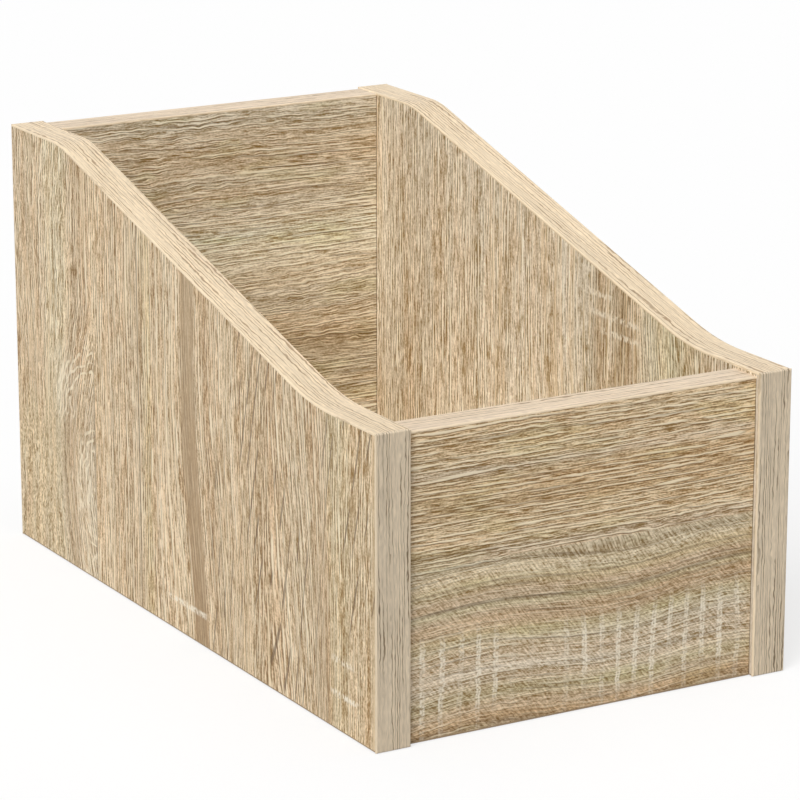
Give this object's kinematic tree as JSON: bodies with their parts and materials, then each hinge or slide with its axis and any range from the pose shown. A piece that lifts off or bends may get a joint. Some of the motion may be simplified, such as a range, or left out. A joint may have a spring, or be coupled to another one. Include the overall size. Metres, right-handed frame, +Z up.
{
  "type": "record storage stand",
  "caption": "Open-topped box of laminated board on edge, with side panels whose top edge drops in a curve from a high back to a low front, over a raised bottom panel.",
  "frame": {"origin": "on the floor under the middle of the box: the middle of its bounding box in plan, at the underside of the bottom edge bands", "axes": "+Z up, the low front panel faces -Y, the high back panel faces +Y, the left side panel (seen from the front) is at -X"},
  "size_m": [0.222, 0.378, 0.22],
  "materials": {
    "oak_decor_board": "chipboard with a light rough-sawn oak look, vertical on the side panels and level on the cross panels, matt",
    "oak_decor_edge_band": "edge band with straight fine oak lines along it, satin",
    "zinc_cam": "die-cast zinc, dull",
    "steel_bolt": "zinc-plated",
    "beech_dowel": "raw beech"
  },
  "bodies": {
    "root": {"left_side_panel": "oak_decor_board", "left_top_band": "oak_decor_edge_band", "left_front_band": "oak_decor_edge_band", "left_back_band": "oak_decor_edge_band", "left_bottom_band": "oak_decor_edge_band", "right_side_panel": "oak_decor_board", "right_top_band": "oak_decor_edge_band", "right_front_band": "oak_decor_edge_band", "right_back_band": "oak_decor_edge_band", "right_bottom_band": "oak_decor_edge_band", "front_panel": "oak_decor_board", "front_panel_top_band": "oak_decor_edge_band", "front_panel_bottom_band": "oak_decor_edge_band", "back_panel": "oak_decor_board", "back_panel_top_band": "oak_decor_edge_band", "back_panel_bottom_band": "oak_decor_edge_band", "bottom_panel": "oak_decor_board", "left_front_cam": "zinc_cam", "left_back_lower_cam": "zinc_cam", "left_back_upper_cam": "zinc_cam", "left_bottom_front_cam": "zinc_cam", "left_bottom_rear_cam": "zinc_cam", "right_front_cam": "zinc_cam", "right_back_lower_cam": "zinc_cam", "right_back_upper_cam": "zinc_cam", "right_bottom_front_cam": "zinc_cam", "right_bottom_rear_cam": "zinc_cam", "left_front_cam_bolt": "steel_bolt", "left_back_lower_cam_bolt": "steel_bolt", "left_back_upper_cam_bolt": "steel_bolt", "left_bottom_front_cam_bolt": "steel_bolt", "left_bottom_rear_cam_bolt": "steel_bolt", "right_front_cam_bolt": "steel_bolt", "right_back_lower_cam_bolt": "steel_bolt", "right_back_upper_cam_bolt": "steel_bolt", "right_bottom_front_cam_bolt": "steel_bolt", "right_bottom_rear_cam_bolt": "steel_bolt", "left_front_lower_dowel": "beech_dowel", "left_front_upper_dowel": "beech_dowel", "left_back_lower_dowel": "beech_dowel", "left_back_upper_dowel": "beech_dowel", "left_bottom_front_dowel": "beech_dowel", "left_bottom_rear_dowel": "beech_dowel", "right_front_lower_dowel": "beech_dowel", "right_front_upper_dowel": "beech_dowel", "right_back_lower_dowel": "beech_dowel", "right_back_upper_dowel": "beech_dowel", "right_bottom_front_dowel": "beech_dowel", "right_bottom_rear_dowel": "beech_dowel"}
  },
  "joints": []
}
